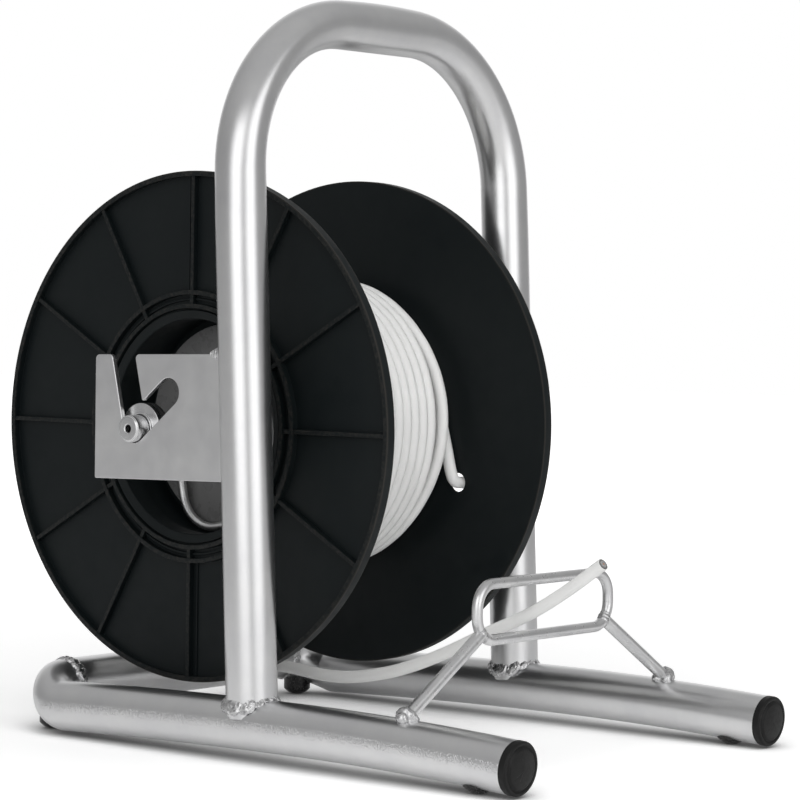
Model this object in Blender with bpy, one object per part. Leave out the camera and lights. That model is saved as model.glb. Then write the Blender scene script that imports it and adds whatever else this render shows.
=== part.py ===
"""A stand that pays cable off a drum.

A frame of bent steel tube carries two slotted brackets. An axle rests in them, and a
plastic drum of cable turns on the axle. X runs along the axle, the cable leaves towards
-Y, and the origin is on the floor under the middle of the whole stand.
"""

from math import acos, asin, cos, pi, radians, sin, sqrt, tan

import bmesh
import bpy
from mathutils import Matrix, Vector

# Fits
GAP = 0.0003  # between pieces that touch
RUN = 0.0003  # round a shaft in the bore that turns on it

# Frame tube
TUBE_D = 0.028
TUBE_WALL = 0.002
TRACK = 0.2352  # between the side tubes' centre lines
FRONT_REACH = 0.2635  # side tubes' open ends, ahead of the axle
REAR_REACH = 0.0766  # cross tube's centre line, behind the axle
CORNER_R = 0.0243  # rear corners, on the centre line
CREST_REACH = 0.130  # where the side tubes arch highest, ahead of the axle
CREST_LIFT = 0.0055  # from the floor to the side tubes' underside there
FRONT_DROP = 0.0043  # from the crest to the open ends
REAR_DROP = 0.0037  # from the crest to the rear corners
CROSS_LIFT = 0.0104  # from the floor to the cross tube's underside
CORNER_CLIMB = 1.4  # power of the rear corners' rise to the cross tube

# Bow that joins the two sides over the drum and serves as the handle
BOW_REACH = 0.0889  # at its feet, ahead of the axle
BOW_LEAN = radians(2.7)
BOW_TOP = 0.4147
BOW_CORNER_R = 0.0854
BOW_FOOT = 0.005  # of its ends over the side tubes' centre lines
WELD_OUT = 0.002
WELD_UP = 0.002  # over the side tubes' crowns

# Axle
AXLE_Z = 0.1744
AXLE_D = 0.015
AXLE_PROUD = 0.005  # past each bracket
AXLE_CHAMFER = 0.0007
CENTRE_HOLE_D = 0.0045
CENTRE_HOLE_DEPTH = 0.012
COLLAR_D = 0.028
COLLAR_W = 0.008
COLLAR_PLAY = 0.0025  # between a collar and its bracket

# Bracket plates, measured from the axle's seat
PLATE_T = 0.003
PLATE_REAR = 0.030
PLATE_UP = 0.041
PLATE_DOWN = 0.028
PLATE_SLOPE = radians(1.3)  # of the top and bottom edges, rising to the front
PLATE_CORNER_R = 0.0025
TIP_R = 0.001
ENTRY_W = 0.017  # slot that the axle is dropped in through
ENTRY_LEAN = radians(13)
KEEPER_TRAVEL = 0.033  # slot that traps the axle while the stand is carried
KEEPER_RISE = radians(39)

# Cable guide
GUIDE_REACH = 0.195  # ahead of the axle
GUIDE_Z = 0.0827
GUIDE_W = 0.120  # between the rod's centre lines
GUIDE_H = 0.030
GUIDE_ROD_D = 0.006
GUIDE_END_FLAT = 0.004  # straight run in the middle of each end
LEG_ROD_D = 0.007
LEG_FOOT_RISE = 0.0015  # of the leg's centre line over the side tube's crown
LEG_FOOT_PAST = 0.003  # past the side tube's crown

# End caps and feet
CAP_RIM = 0.0045
CAP_DOME = 0.0015
CAP_EDGE_R = 0.0015
CAP_PLUG_L = 0.016
FOOT_D = 0.0165
FOOT_DOME_R = 0.0104
FOOT_FLAT_D = 0.006  # that it stands on
FOOT_STEM_D = 0.006
FOOT_HEAD = 0.003  # of the stem inside the tube
FRONT_FOOT_CLEAR = 0.006  # behind the end cap's plug
REAR_FOOT_TURN = radians(58)  # round the rear corner

# Drum
FLANGE_D = 0.288
DRUM_W = 0.149
FLANGE_T = 0.0063
WEB_T = 0.0022
RIM_T = 0.003
RIM_EDGE = 0.0008
RIB_COUNT = 12
RIB_T = 0.0025
RIB_STEP = 0.0006  # ribs stand this much lower than the rim
BORE_D = 0.1214
BORE_CHAMFER = 0.004
INNER_RING_W = 0.0078
GROOVE_W = 0.0061
OUTER_RING_W = 0.0024
SPIGOT_T = 0.0015
SPIGOT_L = 0.008
CORE_WALL = 0.0035
LEDGE_H = 0.010
LEDGE_T = 0.004
TAIL_HOLE_D = 0.012
TAIL_HOLE_TURN = radians(22)  # below the axle, on the front side
TAIL_RISE = 0.0178  # from the cable's lie on the core out to the hole

# Clamping discs inside the drum
DISC_DEPTH = 0.0325  # below the flange's outer face
DISC_T = 0.003
DISC_PLAY = 0.0042  # round the disc in the core
HUB_D = 0.024
HUB_OUT = 0.008  # sleeve outside the disc
HUB_SHOULDER_D = 0.036
HUB_SHOULDER_T = 0.005
WIRE_D = 0.0048
BAIL_W = 0.074  # between the legs' centre lines
BAIL_TOP = 0.013  # over the axle
BAIL_DROP = 0.0565  # under the axle, on the centre line
BAIL_STAND = 0.003  # centre line to the disc's face
BAIL_CORNER_R = 0.022
BAIL_HOOK_R = 0.0035
BAIL_TURN = radians(10)  # of its foot towards the front

# Cable
CABLE_D = 0.007
WINDING_DEPTH = 0.0186
WINDING_FREE = 0.0114  # of the core beside the right flange
TURN_W = 0.0073
TURN_X = 0.0405  # of turn 0, below the front
FIRST_TURN = -15
LAST_TURN = 1
TURN_CREST = 0.44  # share of a turn's width that is level
TURN_GROOVE = 0.0028  # between two turns
CROSSING_START = radians(-125)  # where the turns step over, from the front's level
CROSSING_SPAN = radians(150)
SLACK = 0.0047  # of the last turn away from the others
SLACK_TURN = radians(-5)
SLACK_SPAN = radians(60)  # to each side
TAIL_LIE_L = 0.012  # on the core, from the winding's side
TAIL_BEND_R = 0.006
TAIL_PROUD = 0.007  # past the flange's outer face

# Facets
TUBE_SIDES = 16
ROD_SIDES = 10
WIRE_SIDES = 8
DRUM_SIDES = 36
WINDING_SIDES = 24
ROUND_SIDES = 20
ARC_STEP = radians(15)
ARCH_SPANS = 6
FOOT_SPANS = 3

# Sizes that follow
TUBE_R = TUBE_D / 2
TUBE_BORE_R = TUBE_R - TUBE_WALL
CREST_Z = CREST_LIFT + TUBE_R
CROSS_Z = CROSS_LIFT + TUBE_R
HALF_TRACK = TRACK / 2
FLANGE_R = FLANGE_D / 2
CAP_REACH = FRONT_REACH + CAP_RIM + CAP_DOME
AXLE_Y = (CAP_REACH - FLANGE_R) / 2  # centres the stand on the origin, front to back
GUIDE_CORNER_R = (GUIDE_H - GUIDE_END_FLAT) / 2
FRONT_FOOT_REACH = FRONT_REACH - CAP_PLUG_L - FRONT_FOOT_CLEAR
SEAT_R = AXLE_D / 2 + GAP
BORE_R = BORE_D / 2
CORE_BORE_R = BORE_R + SPIGOT_T + GAP
CORE_R = CORE_BORE_R + CORE_WALL
WINDING_R = CORE_R + GAP + WINDING_DEPTH
TAIL_LIE_R = CORE_R + GAP + CABLE_D / 2
TAIL_HOLE_R = TAIL_LIE_R + TAIL_RISE
INNER_FACE = DRUM_W / 2 - FLANGE_T  # of a flange, from the drum's middle
WINDING_END = INNER_FACE - WINDING_FREE
DISC_FACE = DRUM_W / 2 - DISC_DEPTH  # outer face of a clamping disc
DISC_R = CORE_BORE_R - DISC_PLAY


def clear_scene():
    for obj in list(bpy.data.objects):
        bpy.data.objects.remove(obj)


def material(name, colour, roughness, metallic):
    made = bpy.data.materials.new(name)
    made.use_nodes = True
    shader = made.node_tree.nodes["Principled BSDF"]
    shader.inputs["Base Color"].default_value = (*colour, 1)
    shader.inputs["Roughness"].default_value = roughness
    shader.inputs["Metallic"].default_value = metallic
    return made


def add(name, bm, surface=None, parent=None):
    """Makes an object of the mesh. Without a surface it is a hidden cutter."""
    bmesh.ops.recalc_face_normals(bm, faces=bm.faces)
    mesh = bpy.data.meshes.new(name)
    bm.to_mesh(mesh)
    bm.free()
    mesh.shade_smooth()
    mesh.set_sharp_from_angle(angle=radians(35))
    obj = bpy.data.objects.new(name, mesh)
    obj.parent = parent
    bpy.context.scene.collection.objects.link(obj)
    if surface:
        mesh.materials.append(surface)
    else:
        obj.hide_render = True
        obj.display_type = "WIRE"
    return obj


def combine(obj, other, operation="DIFFERENCE"):
    boolean = obj.modifiers.new(other.name, "BOOLEAN")
    boolean.operation = operation
    boolean.object = other
    boolean.solver = "EXACT"


def empty(name, location, parent=None):
    obj = bpy.data.objects.new(name, None)
    obj.location = location
    obj.parent = parent
    bpy.context.scene.collection.objects.link(obj)
    return obj


def filleted(corners, closed=False):
    """The line through (point, radius) corners, with an arc at each corner that has a radius."""
    line = []
    for i, (corner, radius) in enumerate(corners):
        at_end = not closed and i in (0, len(corners) - 1)
        if at_end or not radius:
            line.append(corner)
            continue
        back = (corners[i - 1][0] - corner).normalized()
        ahead = (corners[(i + 1) % len(corners)][0] - corner).normalized()
        half = back.angle(ahead) / 2
        centre = corner + (back + ahead).normalized() * (radius / sin(half))
        first = corner + back * (radius / tan(half)) - centre
        sweep = pi - 2 * half
        axis = back.cross(ahead).normalized()
        steps = max(2, round(sweep / ARC_STEP))
        for k in range(steps + 1):
            line.append(centre + Matrix.Rotation(-sweep * k / steps, 3, axis) @ first)
    kept = [p for i, p in enumerate(line) if i == 0 or (p - line[i - 1]).length > 1e-7]
    if closed and (kept[0] - kept[-1]).length < 1e-7:
        kept.pop()
    return kept


def rings_along(bm, path, radius, sides, closed=False, last_way=None):
    """Rings of points square to the path, each turned as little as possible from the one before."""
    count = len(path)
    ways = []
    for i in range(count):
        after = path[(i + 1) % count] if closed or i < count - 1 else path[i]
        before = path[i - 1] if closed or i > 0 else path[i]
        ways.append((after - before).normalized())
    if last_way:
        ways[-1] = last_way
    across = ways[0].orthogonal().normalized()
    rings = []
    for i, (point, way) in enumerate(zip(path, ways)):
        if i:
            across = ways[i - 1].rotation_difference(way) @ across
        up = way.cross(across)
        turns = [2 * pi * k / sides for k in range(sides)]
        rings.append([bm.verts.new(point + (across * cos(a) + up * sin(a)) * radius) for a in turns])
    return rings


def skin(bm, rings, closed=False):
    pairs = zip(rings, rings[1:] + rings[:1]) if closed else zip(rings, rings[1:])
    for one, two in pairs:
        for k in range(len(one)):
            after = (k + 1) % len(one)
            bm.faces.new((one[k], one[after], two[after], two[k]))


def rod(path, radius, sides=ROD_SIDES, closed=False, last_way=None):
    bm = bmesh.new()
    rings = rings_along(bm, path, radius, sides, closed, last_way)
    skin(bm, rings, closed)
    if not closed:
        bm.faces.new(rings[0])
        bm.faces.new(rings[-1])
    return bm


def pipe(path, last_way=None):
    """Frame tube, hollow and open at both ends."""
    bm = bmesh.new()
    outer = rings_along(bm, path, TUBE_R, TUBE_SIDES, last_way=last_way)
    inner = rings_along(bm, path, TUBE_BORE_R, TUBE_SIDES, last_way=last_way)
    skin(bm, outer)
    skin(bm, inner)
    skin(bm, [outer[0], inner[0]])
    skin(bm, [outer[-1], inner[-1]])
    return bm


def turned(profile, sides=ROUND_SIDES):
    """A closed profile of (distance along X, radius) points, turned about X."""
    bm = bmesh.new()
    points = [bm.verts.new((along, 0, radius)) for along, radius in profile]
    edges = [bm.edges.new((p, points[i - 1])) for i, p in enumerate(points)]
    bmesh.ops.spin(
        bm, geom=points + edges, axis=(1, 0, 0), cent=(0, 0, 0),
        angle=2 * pi, steps=sides, use_merge=True,
    )
    bmesh.ops.remove_doubles(bm, verts=bm.verts, dist=1e-7)
    bmesh.ops.dissolve_degenerate(bm, edges=bm.edges, dist=1e-7)
    return bm


def foot_mesh(place):
    """A domed button on its flat, as high as the middle of the tube that is cut out of it."""
    low, high = asin(FOOT_FLAT_D / 2 / FOOT_DOME_R), asin(FOOT_D / 2 / FOOT_DOME_R)
    slope = [low + (high - low) * k / FOOT_SPANS for k in range(FOOT_SPANS + 1)]
    dome = [((cos(low) - cos(a)) * FOOT_DOME_R, sin(a) * FOOT_DOME_R) for a in slope]
    bm = turned([(0, 0), *dome, (place.z, FOOT_D / 2), (place.z, 0)])
    stand = Matrix.Translation((place.x, place.y, 0)) @ Matrix.Rotation(-pi / 2, 4, "Y")
    bmesh.ops.transform(bm, matrix=stand, verts=bm.verts)
    return bm


def upright_cylinder(x, y, bottom, top, diameter):
    return rod([Vector((x, y, bottom)), Vector((x, y, top))], diameter / 2)


def mirrored(profile, side):
    return [(side * along, radius) for along, radius in profile]


def ahead(reach):
    """Y of a point this far ahead of the axle."""
    return AXLE_Y - reach


def side_tube_height(reach):
    """Height of a side tube's centre line, which arches between its feet."""
    past = reach - CREST_REACH
    if past > 0:
        return CREST_Z - FRONT_DROP * (past / (FRONT_REACH - CREST_REACH)) ** 2
    return CREST_Z - REAR_DROP * (past / (CREST_REACH + REAR_REACH - CORNER_R)) ** 2


def corner_point(side, turn):
    """A point on a rear corner's centre line, which climbs from the side tube to the cross tube."""
    low = side_tube_height(CORNER_R - REAR_REACH)
    climb = sin(turn) ** CORNER_CLIMB
    return Vector((
        side * (HALF_TRACK - CORNER_R * (1 - cos(turn))),
        AXLE_Y + REAR_REACH - CORNER_R * (1 - sin(turn)),
        low + (CROSS_Z - low) * climb,
    ))


def side_tube_path(side):
    straight = FRONT_REACH + REAR_REACH - CORNER_R
    line = []
    for k in range(ARCH_SPANS):
        reach = FRONT_REACH - straight * k / ARCH_SPANS
        line.append(Vector((side * HALF_TRACK, ahead(reach), side_tube_height(reach))))
    bends = round(pi / 2 / ARC_STEP)
    return line + [corner_point(side, pi / 2 * k / bends) for k in range(bends + 1)]


def bow_way():
    return Vector((0, sin(BOW_LEAN), cos(BOW_LEAN)))


def bow_foot(side):
    """Where the bow's centre line crosses a side tube's."""
    return Vector((side * HALF_TRACK, ahead(BOW_REACH), side_tube_height(BOW_REACH)))


def bow_path():
    left, right = bow_foot(-1), bow_foot(1)
    height = (BOW_TOP - TUBE_R - left.z) / cos(BOW_LEAN)
    return filleted([
        (left + bow_way() * BOW_FOOT, 0),
        (left + bow_way() * height, BOW_CORNER_R),
        (right + bow_way() * height, BOW_CORNER_R),
        (right + bow_way() * BOW_FOOT, 0),
    ])


def weld_mesh(side):
    """The bead round a foot of the bow, sloping from the bow's wall out to the side tube."""
    rooted = TUBE_WALL / 2
    low = BOW_FOOT - rooted
    slope = (TUBE_R + WELD_UP - low) / WELD_OUT
    bm = turned([
        (low, TUBE_R - rooted),
        (low, TUBE_R + WELD_OUT),
        (TUBE_R + WELD_UP + rooted * slope, TUBE_R - rooted),
    ], TUBE_SIDES)
    turn = Vector((1, 0, 0)).rotation_difference(bow_way()).to_matrix().to_4x4()
    bmesh.ops.transform(bm, matrix=Matrix.Translation(bow_foot(side)) @ turn, verts=bm.verts)
    return bm


def meet(one, way_one, two, way_two):
    """Where two lines in the bracket's plane cross."""
    apart = two - one
    share = (apart.y * way_two.z - apart.z * way_two.y) / (way_one.y * way_two.z - way_one.z * way_two.y)
    return one + way_one * share


def bracket_outline():
    """Outline about the axle's seat, with the slots' walls tangent to the seat."""
    edge = Vector((0, -cos(PLATE_SLOPE), sin(PLATE_SLOPE)))
    top = Vector((0, 0, PLATE_UP))
    bottom = Vector((0, 0, -PLATE_DOWN))
    rear = Vector((0, PLATE_REAR, 0))
    front = Vector((0, -BOW_REACH, 0))
    upright = Vector((0, 0, 1))
    entry = Vector((0, sin(ENTRY_LEAN), cos(ENTRY_LEAN)))
    entry_side = Vector((0, cos(ENTRY_LEAN), -sin(ENTRY_LEAN)))
    keeper = keeper_way()
    keeper_side = Vector((0, keeper.z, -keeper.y))
    rear_wall = entry_side * SEAT_R
    front_wall = entry_side * (SEAT_R - ENTRY_W)
    roof = keeper_side * SEAT_R
    floor = -keeper_side * SEAT_R
    end = keeper * (KEEPER_TRAVEL + SEAT_R)
    return filleted([
        (meet(rear, upright, bottom, edge), TIP_R),
        (meet(rear, upright, top, edge), PLATE_CORNER_R),
        (meet(rear_wall, entry, top, edge), PLATE_CORNER_R),
        (meet(rear_wall, entry, floor, keeper), SEAT_R),
        (floor + end, SEAT_R),
        (roof + end, SEAT_R),
        (meet(front_wall, entry, roof, keeper), TIP_R),
        (meet(front_wall, entry, top, edge), PLATE_CORNER_R),
        (meet(front, upright, top, edge), 0),
        (meet(front, upright, bottom, edge), 0),
    ], closed=True)


def keeper_way():
    return Vector((0, -cos(KEEPER_RISE), sin(KEEPER_RISE)))


def bracket_mesh(side):
    bm = bmesh.new()
    seat = Vector((side * HALF_TRACK - PLATE_T / 2, AXLE_Y, AXLE_Z))
    face = bm.faces.new([bm.verts.new(seat + p) for p in bracket_outline()])
    made = bmesh.ops.extrude_face_region(bm, geom=[face])
    lifted = [v for v in made["geom"] if isinstance(v, bmesh.types.BMVert)]
    bmesh.ops.translate(bm, verts=lifted, vec=(PLATE_T, 0, 0))
    return bm


def guide_ring_path():
    centre = Vector((0, ahead(GUIDE_REACH), GUIDE_Z))
    corners = []
    for x, z in ((-1, -1), (1, -1), (1, 1), (-1, 1)):
        corner = centre + Vector((x * GUIDE_W / 2, 0, z * GUIDE_H / 2))
        corners.append((corner, GUIDE_CORNER_R))
    return filleted(corners, closed=True)


def guide_leg_path(side):
    """From the side tube's crown to the middle of the ring's lower corner."""
    crown = side_tube_height(GUIDE_REACH) + TUBE_R
    foot = Vector((side * HALF_TRACK, ahead(GUIDE_REACH), crown + LEG_FOOT_RISE))
    inset = GUIDE_CORNER_R * (1 - sqrt(0.5))
    head = Vector((
        side * (GUIDE_W / 2 - inset),
        ahead(GUIDE_REACH),
        GUIDE_Z - GUIDE_H / 2 + inset,
    ))
    past = (foot - head).normalized() * LEG_FOOT_PAST
    return [foot + past, head]


def cap_mesh(side):
    """Turned about X with its rim's back at 0, then set in the side tube's open end."""
    plug_r = TUBE_BORE_R * cos(pi / TUBE_SIDES) - GAP  # clear of the bore's facets
    bm = turned([
        (-CAP_RIM - CAP_DOME, 0),
        (-CAP_RIM - CAP_DOME, TUBE_BORE_R - CAP_EDGE_R),
        (-CAP_RIM, TUBE_BORE_R),
        (-CAP_RIM, TUBE_R - CAP_EDGE_R),
        (CAP_EDGE_R - CAP_RIM, TUBE_R),
        (-GAP, TUBE_R),
        (-GAP, plug_r),
        (CAP_PLUG_L - CAP_EDGE_R, plug_r),
        (CAP_PLUG_L, plug_r - CAP_EDGE_R),
        (CAP_PLUG_L, 0),
    ])
    path = side_tube_path(side)
    inward = path[1] - path[0]
    turn = Vector((1, 0, 0)).rotation_difference(inward).to_matrix().to_4x4()
    bmesh.ops.transform(bm, matrix=Matrix.Translation(path[0]) @ turn, verts=bm.verts)
    return bm


def foot_points():
    """Name and centre of each foot, with its tube's centre line height as z."""
    places = []
    for name, side in (("left", -1), ("right", 1)):
        front = (side * HALF_TRACK, ahead(FRONT_FOOT_REACH), side_tube_height(FRONT_FOOT_REACH))
        places.append((f"front_{name}_foot", side, Vector(front)))
        places.append((f"rear_{name}_foot", side, corner_point(side, REAR_FOOT_TURN)))
    return places


def flange_profile():
    web = INNER_FACE + WEB_T
    outer = DRUM_W / 2
    inner_ring = BORE_R + INNER_RING_W
    outer_ring = inner_ring + GROOVE_W
    rim = FLANGE_R - RIM_T
    spigot_r = BORE_R + SPIGOT_T
    return [
        (INNER_FACE - SPIGOT_L, BORE_R),
        (outer - BORE_CHAMFER, BORE_R),
        (outer, BORE_R + BORE_CHAMFER),
        (outer, inner_ring),
        (web, inner_ring),
        (web, outer_ring),
        (outer, outer_ring),
        (outer, outer_ring + OUTER_RING_W),
        (web, outer_ring + OUTER_RING_W),
        (web, rim),
        (outer, rim),
        (outer, FLANGE_R - RIM_EDGE),
        (outer - RIM_EDGE, FLANGE_R),
        (INNER_FACE + RIM_EDGE, FLANGE_R),
        (INNER_FACE, FLANGE_R - RIM_EDGE),
        (INNER_FACE, spigot_r),
        (INNER_FACE - SPIGOT_L, spigot_r),
    ]


def ribs_mesh(side):
    """Straight ribs from the inner hub ring to the rim, rooted in the web."""
    bm = bmesh.new()
    low = INNER_FACE + WEB_T / 2
    high = DRUM_W / 2 - RIB_STEP
    start = BORE_R + INNER_RING_W - RIB_STEP
    end = FLANGE_R - RIM_T / 2
    box = Matrix.Translation((side * (low + high) / 2, 0, (start + end) / 2))
    box @= Matrix.Diagonal((high - low, RIB_T, end - start, 1))
    for k in range(RIB_COUNT):
        turn = Matrix.Rotation(2 * pi * k / RIB_COUNT, 4, "X")
        bmesh.ops.create_cube(bm, size=1, matrix=turn @ box)
    return bm


def core_profile():
    """The barrel between the flanges, with a ledge inside for each clamping disc."""
    end = INNER_FACE - GAP
    ledge_out = DISC_FACE - DISC_T - GAP
    ledge_in = ledge_out - LEDGE_T
    ledge_r = CORE_BORE_R - LEDGE_H
    half = [
        (end, CORE_R),
        (end, CORE_BORE_R),
        (ledge_out, CORE_BORE_R),
        (ledge_out, ledge_r),
        (ledge_in, ledge_r),
        (ledge_in, CORE_BORE_R),
    ]
    return half + mirrored(half[::-1], -1)


def hub_profile():
    bore = AXLE_D / 2 + RUN
    shoulder = DISC_FACE - DISC_T - GAP
    return [
        (shoulder - HUB_SHOULDER_T, bore),
        (DISC_FACE + HUB_OUT, bore),
        (DISC_FACE + HUB_OUT, HUB_D / 2),
        (shoulder, HUB_D / 2),
        (shoulder, HUB_SHOULDER_D / 2),
        (shoulder - HUB_SHOULDER_T, HUB_SHOULDER_D / 2),
    ]


def disc_profile():
    hole = HUB_D / 2 + GAP
    return [
        (DISC_FACE - DISC_T, hole),
        (DISC_FACE, hole),
        (DISC_FACE, DISC_R),
        (DISC_FACE - DISC_T, DISC_R),
    ]


def bail_path(side):
    """Hooked through the disc at the top of each leg."""
    root = side * (DISC_FACE - DISC_T / 2)
    out = side * (DISC_FACE + BAIL_STAND)
    half = BAIL_W / 2
    line = filleted([
        (Vector((root, half, BAIL_TOP)), 0),
        (Vector((out, half, BAIL_TOP)), BAIL_HOOK_R),
        (Vector((out, half, -BAIL_DROP)), BAIL_CORNER_R),
        (Vector((out, -half, -BAIL_DROP)), BAIL_CORNER_R),
        (Vector((out, -half, BAIL_TOP)), BAIL_HOOK_R),
        (Vector((root, -half, BAIL_TOP)), 0),
    ])
    turn = Matrix.Rotation(-BAIL_TURN, 3, "X")
    return [turn @ point for point in line]


def axle_profile():
    end = HALF_TRACK + PLATE_T / 2 + AXLE_PROUD
    radius = AXLE_D / 2
    hole = CENTRE_HOLE_D / 2
    half = [
        (end - CENTRE_HOLE_DEPTH, 0),
        (end - CENTRE_HOLE_DEPTH, hole),
        (end, hole),
        (end, radius - AXLE_CHAMFER),
        (end - AXLE_CHAMFER, radius),
    ]
    return half + mirrored(half[::-1], -1)


def collar_profile():
    face = HALF_TRACK - PLATE_T / 2 - COLLAR_PLAY
    bore = AXLE_D / 2 + GAP
    return [
        (face - COLLAR_W, bore),
        (face, bore),
        (face, COLLAR_D / 2),
        (face - COLLAR_W, COLLAR_D / 2),
    ]


def smooth_line(route, spacing):
    """Points at an even spacing on a smooth curve through the route's points."""
    dense = []
    for i in range(len(route) - 1):
        p0 = route[max(i - 1, 0)]
        p1, p2 = route[i], route[i + 1]
        p3 = route[min(i + 2, len(route) - 1)]
        for k in range(20):
            t = k / 20
            dense.append(0.5 * (
                2 * p1 + (p2 - p0) * t + (2 * p0 - 5 * p1 + 4 * p2 - p3) * t ** 2
                + (3 * p1 - p0 - 3 * p2 + p3) * t ** 3
            ))
    dense.append(route[-1])
    total = sum((b - a).length for a, b in zip(dense, dense[1:]))
    step = total / max(2, round(total / spacing))
    line, left = [dense[0]], step
    for a, b in zip(dense, dense[1:]):
        run = (b - a).length
        while run >= left and len(line) * step < total - step / 2:
            a = a.lerp(b, left / run)
            run = (b - a).length
            line.append(a.copy())
            left = step
        left -= run
    return line + [dense[-1]]


def cable(name, route, surface, parent=None):
    """A length of cable: a round tube with flat ends along the route."""
    curve = bpy.data.curves.new(name, "CURVE")
    curve.dimensions = "3D"
    curve.bevel_depth = CABLE_D / 2
    curve.bevel_resolution = 3
    curve.use_fill_caps = True
    line = smooth_line(route, 2.5 * CABLE_D)
    spline = curve.splines.new("POLY")
    spline.points.add(len(line) - 1)
    for point, place in zip(spline.points, line):
        point.co = (*place, 1)
    curve.materials.append(surface)
    obj = bpy.data.objects.new(name, curve)
    obj.parent = parent
    bpy.context.scene.collection.objects.link(obj)
    return obj


def lead_route():
    """The free run: off the back of the winding, slack under the drum and out through the guide.

    Points are chosen by eye, as (distance ahead of the axle, height over the floor)."""
    off = WINDING_R + CABLE_D / 2 + GAP
    turns = [radians(8), radians(20), radians(32)]
    route = [Vector((-0.012, AXLE_Y + off * cos(a), AXLE_Z - off * sin(a))) for a in turns]
    for reach, height in (
        (-0.048, 0.086), (-0.026, 0.057), (0.002, 0.0385), (0.030, 0.0345), (0.060, 0.0330),
        (0.089, 0.0370), (0.111, 0.0430), (0.132, 0.0510), (0.167, 0.0670), (0.193, 0.0785),
        (0.218, 0.0930), (0.2415, 0.1090),
    ):
        route.append(Vector((-0.012, ahead(reach), height)))
    return route


def on_front(radius, turn):
    """A point in front of the axle, this far from it and turned down from the level."""
    return Vector((0, -cos(turn), -sin(turn))) * radius


def tail_hole():
    """Where the cable's inner end goes through the right flange, from the axle."""
    return on_front(TAIL_HOLE_R, TAIL_HOLE_TURN)


def tail_path():
    """The cable's inner end: out of the winding's side, along the core and up to the flange's hole.

    Its bend on the core is worked out flat, as (across, along), and then rolled up."""
    across = INNER_FACE - GAP - CABLE_D / 2
    leave = TAIL_LIE_R * (TAIL_HOLE_TURN - acos(TAIL_LIE_R / TAIL_HOLE_R))
    flat = filleted([
        (Vector((WINDING_END + GAP, leave - TAIL_LIE_L, 0)), 0),
        (Vector((across, leave - TAIL_LIE_L, 0)), TAIL_BEND_R),
        (Vector((across, leave, 0)), 0),
    ])
    rolled = [Vector((p.x, 0, 0)) + on_front(TAIL_LIE_R, p.y / TAIL_LIE_R) for p in flat]
    return rolled + filleted([
        (rolled[-1], 0),
        (Vector((across, 0, 0)) + tail_hole(), TAIL_BEND_R),
        (Vector((DRUM_W / 2 + TAIL_PROUD, 0, 0)) + tail_hole(), 0),
    ])[1:]


def still_to_step(turn):
    """The share of its width that a turn has still to step to the left, at this place round the drum."""
    share = (turn - CROSSING_START) / CROSSING_SPAN
    return (1 + cos(pi * min(share, 1))) / 2


def slack(turn):
    """How far the last turn stands off from the others, at this place round the drum."""
    share = abs(turn - SLACK_TURN) / SLACK_SPAN
    return SLACK * (1 + cos(pi * min(share, 1))) / 2


def winding_mesh():
    """A ridge for each turn, in rows of points round the drum, and run on past both ends to be trimmed.

    A row that comes round meets the row of the same kind in the turn before."""
    bm = bmesh.new()
    crest = TURN_CREST / 2
    kinds = ((-0.5, WINDING_R - TURN_GROOVE), (-crest, WINDING_R), (crest, WINDING_R))
    turns = [CROSSING_START + 2 * pi * k / WINDING_SIDES for k in range(WINDING_SIDES)]
    rows = []
    for number in range(FIRST_TURN - 2, LAST_TURN + 3):
        for share, radius in kinds:
            stood_off = number >= LAST_TURN and share > -0.5
            row = []
            for turn in turns:
                x = TURN_X + TURN_W * (number + share + still_to_step(turn)) + stood_off * slack(turn)
                row.append(bm.verts.new(Vector((x, 0, 0)) + on_front(radius, turn)))
            rows.append(row)
    for i in range(len(rows) - 1):
        for k in range(WINDING_SIDES - 1):
            bm.faces.new((rows[i][k], rows[i][k + 1], rows[i + 1][k + 1], rows[i + 1][k]))
        back = i - len(kinds)
        if back >= 0:
            bm.faces.new((rows[i][-1], rows[back][0], rows[back + 1][0], rows[i + 1][-1]))
    ends = bmesh.ops.holes_fill(bm, edges=[e for e in bm.edges if e.is_boundary], sides=0)
    bmesh.ops.poke(bm, faces=ends["faces"])
    return bm


clear_scene()

steel = material("zinc_steel", (0.62, 0.63, 0.64), 0.28, 1.0)
sheet = material("bracket_steel", (0.40, 0.40, 0.41), 0.42, 1.0)
dark_steel = material("disc_steel", (0.20, 0.20, 0.21), 0.25, 1.0)
wire_steel = material("bright_wire", (0.70, 0.70, 0.70), 0.18, 1.0)
black_plastic = material("black_plastic", (0.016, 0.018, 0.019), 0.45, 0.0)
cap_plastic = material("cap_plastic", (0.012, 0.012, 0.013), 0.40, 0.0)
rubber = material("foot_rubber", (0.010, 0.010, 0.011), 0.65, 0.0)
sheath = material("cable_sheath", (0.80, 0.80, 0.79), 0.45, 0.0)

SIDES = (("left", -1), ("right", 1))

# Bow, brackets and cable guide, with cutters of the tubes that they are fitted to
bow = add("bow_tube", pipe(bow_path()), steel)
bow_room = add("bow_room", rod(bow_path(), TUBE_R + GAP, TUBE_SIDES))
ring_room = add("ring_room", rod(guide_ring_path(), GUIDE_ROD_D / 2 + GAP, closed=True))
add("guide_ring", rod(guide_ring_path(), GUIDE_ROD_D / 2, closed=True), steel)

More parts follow.
